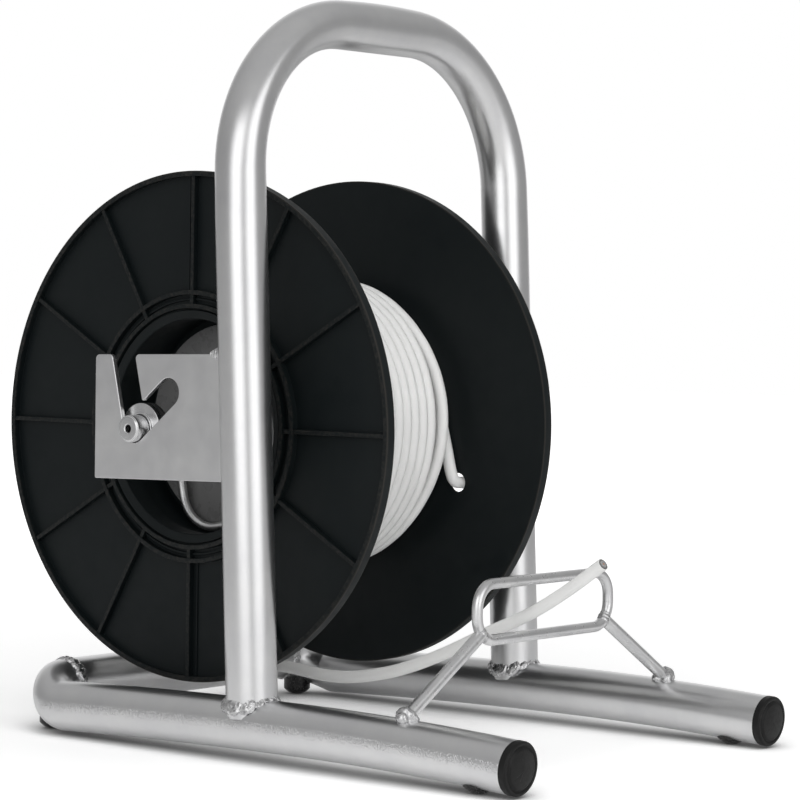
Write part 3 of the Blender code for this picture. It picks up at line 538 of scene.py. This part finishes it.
for seed, (side_name, side) in enumerate(SIDES):
    foot = Vector((side * RUNNER_X, GUIDE_Y, LEG_FOOT_Z))
    head = Vector((side * (GUIDE_W / 2 - leg_inset), GUIDE_Y, GUIDE_Z - GUIDE_H / 2 + leg_inset))
    way = (head - foot).normalized()
    shape = bmesh.new()
    ring = ring_at(shape, foot - way * LEG_ROOT, way, LEG_ROD_R, 24)
    for _ in range(6):
        ring = run_on(shape, ring, way * ((head - foot).length + LEG_ROOT) / 6)
    add_piece(f"{side_name}_leg", shape, rod_steel, "frame", "zinc_steel", f"{side_name}_guide_leg")
    lay_lump(leg_welds, foot - Vector((0, 0, 0.0008)), 0.0066, (way, 0.62), seed)
    for k in range(4):
        turn = pi / 2 * k + seed
        spot = foot + Vector((0.0040 * cos(turn), 0.0040 * sin(turn), -0.0008))
        lay_lump(leg_welds, spot, 0.0030 + 0.0004 * (k % 3), (way, 0.85), seed + k)
    points = [head + Vector((0.0012 * k * side, 0, 0.0016 * k)) for k in (-1.5, -0.5, 0.5, 1.5)]
    lay_bead(leg_welds, points, [0.0030, 0.0036, 0.0036, 0.0030], seed + 13)
add_piece("guide_welds", leg_welds, weld, "frame", "zinc_steel")

# End caps: black moulded plugs pressed into the runners' open front ends, with a rounded rim and a
# slightly raised face.
cap_black, tree, shader, place = tinted("cap_plastic", (0.004, 0.004, 0.004), (0.007, 0.007, 0.007), 200)
shader.inputs["Specular IOR Level"].default_value = 0.25
dulled(tree, shader, grained(tree, place, 500), 0.40, 0.55)
embossed(tree, shader, grained(tree, place, 1500, 2.0), 0.15, 0.0001)


def turned(shape, profile, centre, way=Vector((1, 0, 0)), steps=96):
    """Turns a closed profile of (distance along, radius) points about a line through the centre."""
    out = way.orthogonal().normalized()
    points = [shape.verts.new(centre + way * along + out * radius) for along, radius in profile]
    edges = [shape.edges.new((points[i - 1], point)) for i, point in enumerate(points)]
    bmesh.ops.spin(
        shape, geom=points + edges, cent=centre, axis=way, angle=2 * pi, steps=steps, use_merge=True,
    )
    bmesh.ops.remove_doubles(shape, verts=shape.verts, dist=1e-7)
    bmesh.ops.dissolve_degenerate(shape, edges=shape.edges, dist=1e-7)
    bmesh.ops.recalc_face_normals(shape, faces=shape.faces)


tip_slope = asin(FRONT_RUN / FRONT_ARCH)
tip_way = Vector((0, -cos(tip_slope), -sin(tip_slope)))
for side_name, side in SIDES:
    shape = bmesh.new()
    turned(shape, [
        (-0.010, 0), (-0.010, 0.0115), (0.0001, 0.0115), (0.0001, 0.0141), (0.0036, 0.0141), (0.0045, 0.0134),
        (0.0045, 0.0122), (0.0040, 0.0118), (0.0040, 0.0113), (0.0052, 0.0100), (0.0057, 0.0060), (0.0058, 0),
    ], Vector((side * RUNNER_X, CREST_Y - FRONT_RUN, CREST_Z - FRONT_DROP)), tip_way)
    soften(shape, 0.0003, 2, 25)
    add_piece(f"{side_name}_cap", shape, cap_black, "frame", "cap_plastic", f"{side_name}_end_cap")

# Feet: domed black rubber buttons with a small flat underneath, pressed into holes in the tubes from
# below. Two are near the caps and two are in the rear corners.
foot_rubber, tree, shader, place = tinted("foot_rubber", (0.005, 0.005, 0.005), (0.009, 0.009, 0.009), 300)
dulled(tree, shader, grained(tree, place, 700), 0.22, 0.34)
FOOT_R, DOME_R, FLAT_R = 0.00825, 0.0104, 0.003
FOOT_AHEAD, FRONT_FOOT_TOP, REAR_FOOT_TOP = 0.2415, 0.007, 0.0125
CORNER_TURN = radians(58)
dome_low, dome_high = asin(FLAT_R / DOME_R), asin(FOOT_R / DOME_R)
dome_turns = [dome_low + (dome_high - dome_low) * k / 8 for k in range(9)]
dome = [(DOME_R * (cos(dome_low) - cos(turn)), DOME_R * sin(turn)) for turn in dome_turns]
for side_name, side in SIDES:
    places = {
        "front": (side * RUNNER_X, AXLE.y - FOOT_AHEAD, FRONT_FOOT_TOP),
        "rear": (
            side * (RUNNER_X - CORNER_R * (1 - cos(CORNER_TURN))),
            CROSS_Y - CORNER_R * (1 - sin(CORNER_TURN)),
            REAR_FOOT_TOP,
        ),
    }
    for end_name, (x, y, top) in places.items():
        shape = bmesh.new()
        turned(shape, [(0, 0), *dome, (top, FOOT_R), (top, 0)], Vector((x, y, 0)), Vector((0, 0, 1)), 48)
        node = f"{end_name}_{side_name}_foot"
        add_piece(f"{end_name}_{side_name}_button", shape, foot_rubber, "frame", "foot_rubber", node)

# Axle: a steel bar turned to size, with a chamfer and a drilled and countersunk centre hole at each end. It
# lies loose in the brackets' slots and shows fine tool marks.
turned_steel, tree, shader, place = tinted(
    "turned_steel", (0.66, 0.66, 0.67), (0.78, 0.78, 0.78), 150, metallic=1.0,
)
spread = add_node(tree, "ShaderNodeMapping", Scale=(2500, 30, 30))
tree.links.new(place, spread.inputs["Vector"])
tool_marks = grained(tree, spread.outputs["Vector"], 1.0, 2.0)
dulled(tree, shader, tool_marks, 0.20, 0.34)
embossed(tree, shader, tool_marks, 0.04, 0.0001)
AXLE_END, HOLE_DEPTH, HOLE_R = 0.1241, 0.040, 0.0022
shape = bmesh.new()
half = [
    (AXLE_END - HOLE_DEPTH, 0), (AXLE_END - HOLE_DEPTH, HOLE_R), (AXLE_END - 0.0005, HOLE_R),
    (AXLE_END, HOLE_R + 0.0005), (AXLE_END, 0.0064), (AXLE_END - 0.0010, 0.0075),
]
turned(shape, half + [(-along, radius) for along, radius in half[::-1]], AXLE, steps=64)
soften(shape, 0.0002, 2, 30)
add_piece("axle_bar", shape, turned_steel, "axle", "zinc_steel", "axle_shaft")

# Collars: turned steel rings with a small boss, fixed on the axle just inside each bracket. They keep the
# axle from sliding out to either side.
COLLAR_FACE, COLLAR_W, COLLAR_R, COLLAR_BORE_R = 0.1136, 0.008, 0.014, 0.0078
BOSS_R, BOSS_PROUD = 0.0089, 0.0012
for side_name, side in SIDES:
    shape = bmesh.new()
    face = side * COLLAR_FACE
    back, boss = face - side * COLLAR_W, face + side * BOSS_PROUD
    turned(shape, [
        (back, COLLAR_BORE_R), (boss, COLLAR_BORE_R), (boss, BOSS_R), (face, BOSS_R), (face, COLLAR_R),
        (back, COLLAR_R),
    ], AXLE, steps=64)
    soften(shape, 0.0004, 3, 60)
    add_piece(f"{side_name}_collar", shape, turned_steel, "axle", "zinc_steel", f"{side_name}_axle_collar")

# Drum barrel: a black moulded tube between the flanges, hidden under the cable, with a ledge inside for
# each clamping disc. The plastic is scuffed to a paler grey where the drum's ribs and rims stand out, and
# the same grey is laid round the flanges' outer rim edges as a painted highlight.
FACE = 0.0745
INNER_FACE = 0.0682
DISC_FACE = 0.042
drum_black, tree, shader, place = tinted(
    "drum_plastic", (0.0030, 0.0052, 0.0060), (0.0048, 0.0072, 0.0076), 25,
)
dulled(tree, shader, grained(tree, place, 90), 0.42, 0.56)
embossed(tree, shader, grained(tree, place, 1200, 2.0), 0.12, 0.0001)
shader.inputs["Specular IOR Level"].default_value = 0.22
across = add_node(tree, "ShaderNodeSeparateXYZ")
tree.links.new(place, across.inputs[0])
outside = add_math(tree, "ABSOLUTE", across.outputs["X"])
proud = add_range(tree, outside, FACE - 0.0013, FACE - 0.0006)
inside = add_range(tree, outside, INNER_FACE + 0.0009, INNER_FACE + 0.0004)
wear = add_range(tree, grained(tree, place, 500, 6.0), 0.42, 0.72)
from_axle = add_node(tree, "ShaderNodeVectorMath")
from_axle.operation = "SUBTRACT"
from_axle.inputs[1].default_value = AXLE
flat = add_node(tree, "ShaderNodeVectorMath")
flat.operation = "MULTIPLY"
flat.inputs[1].default_value = (0, 1, 1)
reach = add_node(tree, "ShaderNodeVectorMath")
reach.operation = "LENGTH"
tree.links.new(place, from_axle.inputs[0])
tree.links.new(from_axle.outputs["Vector"], flat.inputs[0])
tree.links.new(flat.outputs["Vector"], reach.inputs[0])
# A painted highlight: a thin ring at the flanges' outer rims, on their outer and inner faces, is lightened to
# the same pale grey as the scuffs.
rim = add_range(tree, reach.outputs["Value"], 0.1430, 0.1436)
worn = add_math(tree, "MULTIPLY", proud, wear)
painted_rim_highlight = add_math(tree, "MULTIPLY", add_math(tree, "MAXIMUM", proud, inside), rim)
# The pale grey mixed in, both for the scuffs on the proud faces and for the painted rim highlight.
scuff_and_rim_highlight = add_node(tree, "ShaderNodeMix")
scuff_and_rim_highlight.data_type = "RGBA"
scuff_and_rim_highlight.inputs[7].default_value = (0.022, 0.021, 0.019, 1)
tree.links.new(add_math(tree, "MAXIMUM", worn, painted_rim_highlight), scuff_and_rim_highlight.inputs[0])
tree.links.new(shader.inputs["Base Color"].links[0].from_socket, scuff_and_rim_highlight.inputs[6])
tree.links.new(scuff_and_rim_highlight.outputs[2], shader.inputs["Base Color"])
BARREL_END, BARREL_R, BARREL_BORE_R = INNER_FACE - 0.0003, 0.0660, 0.0625
LEDGE_FACE, LEDGE_BACK, LEDGE_R = 0.0387, 0.0347, 0.0525
shape = bmesh.new()
half = [
    (BARREL_END, BARREL_R), (BARREL_END, BARREL_BORE_R), (LEDGE_FACE, BARREL_BORE_R),
    (LEDGE_FACE, LEDGE_R), (LEDGE_BACK, LEDGE_R), (LEDGE_BACK, BARREL_BORE_R),
]
turned(shape, half + [(-along, radius) for along, radius in half[::-1]], AXLE)
add_piece("drum_barrel", shape, drum_black, "drum", "black_plastic", "drum_core")

# Flanges: black moulded discs with a rim, two hub rings and twelve straight ribs outside, and a smooth
# face inside. Each one is pressed into the barrel, and the right one has a hole for the cable's end.
FLANGE_R = 0.144
BORE_R = 0.0607
TAIL_HOLE_TURN, TAIL_HOLE_OUT, DRILL_R = radians(22), 0.0876, 0.0055
TAIL_HOLE = AXLE + Vector((0, -TAIL_HOLE_OUT * cos(TAIL_HOLE_TURN), -TAIL_HOLE_OUT * sin(TAIL_HOLE_TURN)))
RIBS, RIB_START, RIB_W = 12, 0.0679, 0.0025


def cut_out(shape, cutter):
    """Takes one solid out of another and returns what is left."""
    solids = []
    for part in (shape, cutter):
        mesh = bpy.data.meshes.new("solid")
        part.to_mesh(mesh)
        part.free()
        solids.append(bpy.data.objects.new("solid", mesh))
        scene.collection.objects.link(solids[-1])
    cut = solids[0].modifiers.new("cut", "BOOLEAN")
    cut.object = solids[1]
    cut.solver = "EXACT"
    left = bmesh.new()
    left.from_object(solids[0], bpy.context.evaluated_depsgraph_get())
    for solid in solids:
        mesh = solid.data
        bpy.data.objects.remove(solid)
        bpy.data.meshes.remove(mesh)
    return left


for side_name, side in SIDES:
    shape = bmesh.new()
    web = INNER_FACE + 0.0022
    profile = [
        (INNER_FACE - 0.008, BORE_R), (FACE - 0.0030, BORE_R), (FACE - 0.0022, BORE_R + 0.0008),
        (FACE - 0.0012, 0.0656), (FACE - 0.0032, 0.0658), (FACE - 0.0032, 0.0668), (FACE, 0.0668),
        (FACE, 0.0693), (web, 0.0693), (web, 0.0713), (web + 0.0014, 0.0713), (web + 0.0014, 0.0725),
        (web, 0.0725), (web, 0.0744), (FACE, 0.0744), (FACE, 0.0770), (web, 0.0770), (web, FLANGE_R - 0.003),
        (FACE, FLANGE_R - 0.003), (FACE, FLANGE_R), (INNER_FACE, FLANGE_R), (INNER_FACE, 0.0622),
        (INNER_FACE - 0.008, 0.0622),
    ]
    turned(shape, [(side * along, radius) for along, radius in profile], AXLE, steps=180)
    soften(shape, 0.0003, 2, 30)
    if side > 0:
        drill = bmesh.new()
        tip = INNER_FACE - 0.002
        turned(drill, [(tip, 0), (tip, DRILL_R), (FACE, DRILL_R), (FACE, 0)], TAIL_HOLE)
        shape = cut_out(shape, drill)
        lip = [
            edge for edge in shape.edges
            if all(abs((vert.co - TAIL_HOLE).yz.length - DRILL_R) < 0.0001 for vert in edge.verts)
            and abs(edge.verts[0].co.x - edge.verts[1].co.x) < 0.0001
        ]
        round_off(shape, lip, 0.0004)
    low, high = INNER_FACE + 0.0011, FACE - 0.0006
    start, end = RIB_START, FLANGE_R - 0.0015
    rib = Matrix.Translation((side * (low + high) / 2, 0, (start + end) / 2))
    rib @= Matrix.Diagonal((high - low, RIB_W, end - start, 1))
    for k in range(RIBS):
        spoke = Matrix.Translation(AXLE) @ Matrix.Rotation(2 * pi * k / RIBS, 4, "X") @ rib
        verts = bmesh.ops.create_cube(shape, size=1, matrix=spoke)["verts"]
        round_off(shape, list({edge for vert in verts for edge in vert.link_edges}), 0.0004)
    for turn in (0, pi):
        strip = Matrix.Translation((side * (web + 0.0002), 0.0045, (0.0765 + end) / 2))
        strip @= Matrix.Diagonal((0.0012, 0.0008, end - 0.0765, 1))
        line = Matrix.Translation(AXLE) @ Matrix.Rotation(turn, 4, "X") @ strip
        bmesh.ops.create_cube(shape, size=1, matrix=line)
    add_piece(f"{side_name}_drum_flange", shape, drum_black, "drum", "black_plastic", f"{side_name}_flange")

# Clamping discs: dull grey steel plates, cut round with a hole for the bush. They sit deep in the drum's
# bore, where they bear on the barrel's ledges.
DISC_T, DISC_R, DISC_BORE_R = 0.003, 0.0583, 0.0123
disc_steel, tree, shader, place = tinted("disc_steel", (0.138, 0.138, 0.138), (0.150, 0.150, 0.150), 300)
dulled(tree, shader, grained(tree, place, 150), 0.24, 0.34)
embossed(tree, shader, grained(tree, place, 900, 2.0), 0.03, 0.0001)
for side_name, side in SIDES:
    shape = bmesh.new()
    back = DISC_FACE - DISC_T
    profile = [(back, DISC_BORE_R), (DISC_FACE, DISC_BORE_R), (DISC_FACE, DISC_R), (back, DISC_R)]
    turned(shape, [(side * along, radius) for along, radius in profile], AXLE)
    soften(shape, 0.0005, 2, 60)
    add_piece(f"{side_name}_disc", shape, disc_steel, "drum", "disc_steel", f"{side_name}_clamp_disc")

# Hub bushes: shouldered bushes of the drum's black plastic. Each goes through its disc from inside and turns
# on the axle.
BUSH_BORE_R, BUSH_R, SHOULDER_R = 0.0078, 0.012, 0.018
for side_name, side in SIDES:
    shape = bmesh.new()
    back, shoulder, front = DISC_FACE - 0.0083, DISC_FACE - 0.0033, DISC_FACE + 0.008
    profile = [
        (back, BUSH_BORE_R), (front, BUSH_BORE_R), (front, BUSH_R),
        (shoulder, BUSH_R), (shoulder, SHOULDER_R), (back, SHOULDER_R),
    ]
    turned(shape, [(side * along, radius) for along, radius in profile], AXLE, steps=64)
    soften(shape, 0.0005, 2, 60)
    add_piece(f"{side_name}_bush", shape, drum_black, "drum", "black_plastic", f"{side_name}_hub_bush")

# Wire bails: bright 5 mm wire bent to a U and hooked through each disc, to pull the disc out by. They
# hang with the foot of the U turned a little to the front.
bright_wire, tree, shader, place = tinted(
    "bright_wire", (0.86, 0.86, 0.86), (0.92, 0.92, 0.92), 120, metallic=1.0,
)
dulled(tree, shader, grained(tree, place, 500), 0.32, 0.42)
WIRE_R = 0.0024
BAIL_HALF, BAIL_TOP, BAIL_LOW, BAIL_R, HOOK_R = 0.037, 0.013, 0.0565, 0.022, 0.0035
BAIL_ROOT = 0.0015
BAIL_OUT = BAIL_ROOT + 0.003 + WIRE_R
for side_name, side in SIDES:
    shape = bmesh.new()
    outward, inward = Vector((side, 0, 0)), Vector((-side, 0, 0))
    down, up, back = Vector((0, 0, -1)), Vector((0, 0, 1)), Vector((0, -1, 0))
    point = AXLE + Vector((side * (DISC_FACE - BAIL_ROOT), BAIL_HALF - 0.0015, BAIL_TOP))
    ring = ring_at(shape, point, outward, WIRE_R, 16)
    drop = BAIL_TOP + BAIL_LOW - HOOK_R - BAIL_R
    for heading, onward, length_on, radius, steps in (
        (outward, down, BAIL_OUT - HOOK_R, HOOK_R, 8), (down, back, drop, BAIL_R, 16),
        (back, up, 2 * (BAIL_HALF - BAIL_R), BAIL_R, 16), (up, inward, drop, HOOK_R, 8),
    ):
        ring = run_on(shape, ring, heading * length_on)
        point += heading * length_on
        ring = bend_on(shape, ring, point + onward * radius, heading.cross(onward), pi / 2, steps)
        point += (heading + onward) * radius
    run_on(shape, ring, inward * (BAIL_OUT - HOOK_R))
    bmesh.ops.rotate(shape, verts=shape.verts, cent=AXLE, matrix=Matrix.Rotation(radians(-10), 3, "X"))
    add_piece(f"{side_name}_bail", shape, bright_wire, "drum", "bright_wire", f"{side_name}_wire_bail")

# Winding: white antenna cable, 7 mm across, wound in layers round the barrel, each turn laid straight and
# stepped over to the next at the back. The last turn is slack, and the cable's inner end comes off the
# barrel beside the right flange and goes out through its hole.
CABLE_R = 0.0035
sheath, tree, shader, place = tinted("white_sheath", (0.80, 0.80, 0.79), (0.84, 0.84, 0.83), 60)
skin = grained(tree, place, 900)
dulled(tree, shader, skin, 0.36, 0.48)
embossed(tree, shader, skin, 0.12, 0.0001)
shader.inputs["Specular IOR Level"].default_value = 0.4


def add_cable(name, *lines, sides=6, smoothness=6):
    """A length of cable on smooth splines, each through a list of points."""
    curve = bpy.data.curves.new(name, "CURVE")
    curve.dimensions = "3D"
    curve.bevel_depth = CABLE_R
    curve.bevel_resolution = sides
    curve.resolution_u = smoothness
    curve.use_fill_caps = True
    for points in lines:
        spline = curve.splines.new("BEZIER")
        spline.bezier_points.add(len(points) - 1)
        for knot, point in zip(spline.bezier_points, points):
            knot.co = point
            knot.handle_left_type = knot.handle_right_type = "AUTO"
    curve.materials.append(sheath)
    cable = bpy.data.objects.new(name, curve)
    scene.collection.objects.link(cable)
    return cable


def on_drum(x, out, turn):
    """A point at this distance from the drum's line, turned down from its front."""
    return AXLE + Vector((x, -out * cos(turn), -out * sin(turn)))


TURN_W, TURN_X = 0.0073, 0.0405
CORE_LAY_R, UNDER_LAY_R, LAY_R = 0.0698, 0.0755, 0.0814
STEP_START, STEP_SPAN = radians(-125), radians(150)
SLACK, SLACK_TURN, SLACK_SPAN = 0.0047, radians(-5), radians(60)
SECOND_END_X, RISE_SPAN, TOP_TURNS = 0.0442, 100 / 360, 15
per_turn = 30
upper = []
for k in range(-2 * per_turn, TOP_TURNS * per_turn + 1):
    number = 1 - k // per_turn
    turn = STEP_START + 2 * pi * (k % per_turn) / per_turn
    wobble = noise.noise_vector((k * 0.35, 2.7, 0.4)) * 0.00025
    if k < 0:
        settled = (1 + cos(pi * min(-k / (per_turn * RISE_SPAN), 1))) / 2
        x = SECOND_END_X + TURN_W * k / per_turn
        x += (TURN_X + 2 * TURN_W - x) * settled
        upper.append(on_drum(x, UNDER_LAY_R + (LAY_R - UNDER_LAY_R) * settled, turn))
        continue
    to_go = (1 + cos(pi * min((turn - STEP_START) / STEP_SPAN, 1))) / 2
    x = TURN_X + TURN_W * (number + to_go)
    if number == 1:
        x += SLACK * (1 + cos(pi * min(abs(turn - SLACK_TURN) / SLACK_SPAN, 1))) / 2
    left = (TOP_TURNS * per_turn - k) / (per_turn / 6)
    out = LAY_R - (LAY_R - UNDER_LAY_R) * (1 + cos(pi * min(left, 1))) / 2
    upper.append(on_drum(x + wobble.x, out + wobble.y, turn))
TUCK_STEPS, TUCK_W, TUCK_DEPTH = 8, 1.6 * TURN_W, 0.001
for k in range(1, TUCK_STEPS + 1):
    tucked = (1 - cos(pi * k / TUCK_STEPS)) / 2
    upper.append(
        on_drum(x + TUCK_W * tucked, UNDER_LAY_R - TUCK_DEPTH * tucked, turn + 2 * pi * k / per_turn),
    )
TAIL_X, TAIL_BEND_R, TAIL_OUT = 0.0644, 0.0048, 0.0815
leave = TAIL_HOLE_TURN - acos(CORE_LAY_R / TAIL_HOLE_OUT)
under = []
for k in range(-4 * per_turn, 1):
    x = min(TAIL_X, TAIL_X + TURN_W * (k + per_turn / 3) / per_turn)
    under.append(on_drum(x, CORE_LAY_R, leave + 2 * pi * k / per_turn))
tail_way = Vector((0, sin(leave), -cos(leave)))
corner = TAIL_HOLE + Vector((TAIL_X, 0, 0))
straight_on = (corner - under[-1]).length - TAIL_BEND_R
under += [under[-1] + tail_way * straight_on * share for share in (0.35, 0.7)]
for turn in (0, pi / 6, pi / 3, pi / 2):
    under.append(
        corner - tail_way * TAIL_BEND_R * (1 - sin(turn)) + Vector((TAIL_BEND_R * (1 - cos(turn)), 0, 0)),
    )
under.append(TAIL_HOLE + Vector((TAIL_OUT, 0, 0)))
winding = add_cable("wound_cable", upper, under, sides=4, smoothness=4)
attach(winding, "drum")
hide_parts("cable_winding", "cable_tail")

# Cable lead: the outer end of the same cable. It comes off the back of the drum, passes under it and
# leaves through the guide to a cut end, and it lies on the stand by its own stiffness.
LEAD_X = -0.012
lead_points = []
for turn, out in ((-16, 0.0820), (-4, 0.0858), (8, 0.0887), (20, 0.0887), (32, 0.0887)):
    lead_points.append(on_drum(LEAD_X, out, pi - radians(turn)))
for ahead, height in (
    (-0.048, 0.0860), (-0.026, 0.0570), (0.002, 0.0385), (0.030, 0.0345), (0.060, 0.0330),
    (0.089, 0.0370), (0.111, 0.0430), (0.132, 0.0510), (0.167, 0.0670), (0.193, 0.0785),
    (0.218, 0.0930), (0.2415, 0.1090),
):
    lead_points.append(Vector((LEAD_X, AXLE.y - ahead, height)))
lead = add_cable("drawn_off_cable", lead_points)
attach(lead, "frame")
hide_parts("cable_lead")

# Cut end: the sawn face of the cable, where its grey screen of braided wire and foil shows with the
# foamed insulation and the copper conductor in the middle.
braid, tree, shader, place = tinted("cable_braid", (0.02, 0.02, 0.02), (0.30, 0.30, 0.30), 1400)
dulled(tree, shader, grained(tree, place, 1500), 0.35, 0.60)
embossed(tree, shader, grained(tree, place, 1500), 0.5, 0.0004)
foam, tree, shader, place = tinted("cable_foam", (0.20, 0.20, 0.20), (0.42, 0.42, 0.41), 1100)
dulled(tree, shader, grained(tree, place, 1500), 0.50, 0.70)
copper, tree, shader, place = tinted("copper", (0.55, 0.28, 0.18), (0.75, 0.42, 0.30), 900, metallic=1.0)
dulled(tree, shader, grained(tree, place, 1500), 0.30, 0.45)
end_way = (lead_points[-1] - lead_points[-2]).normalized()
for name, finish, radius, proud in (
    ("cut_braid", braid, 0.0030, 0.00020), ("cut_foam", foam, 0.0020, 0.00035),
    ("cut_conductor", copper, 0.0005, 0.00070),
):
    shape = bmesh.new()
    turned(shape, [(-0.001, 0), (-0.001, radius), (proud, radius), (proud, 0)], lead_points[-1], end_way, 40)
    add_piece(name, shape, finish, "frame", "cable_sheath")
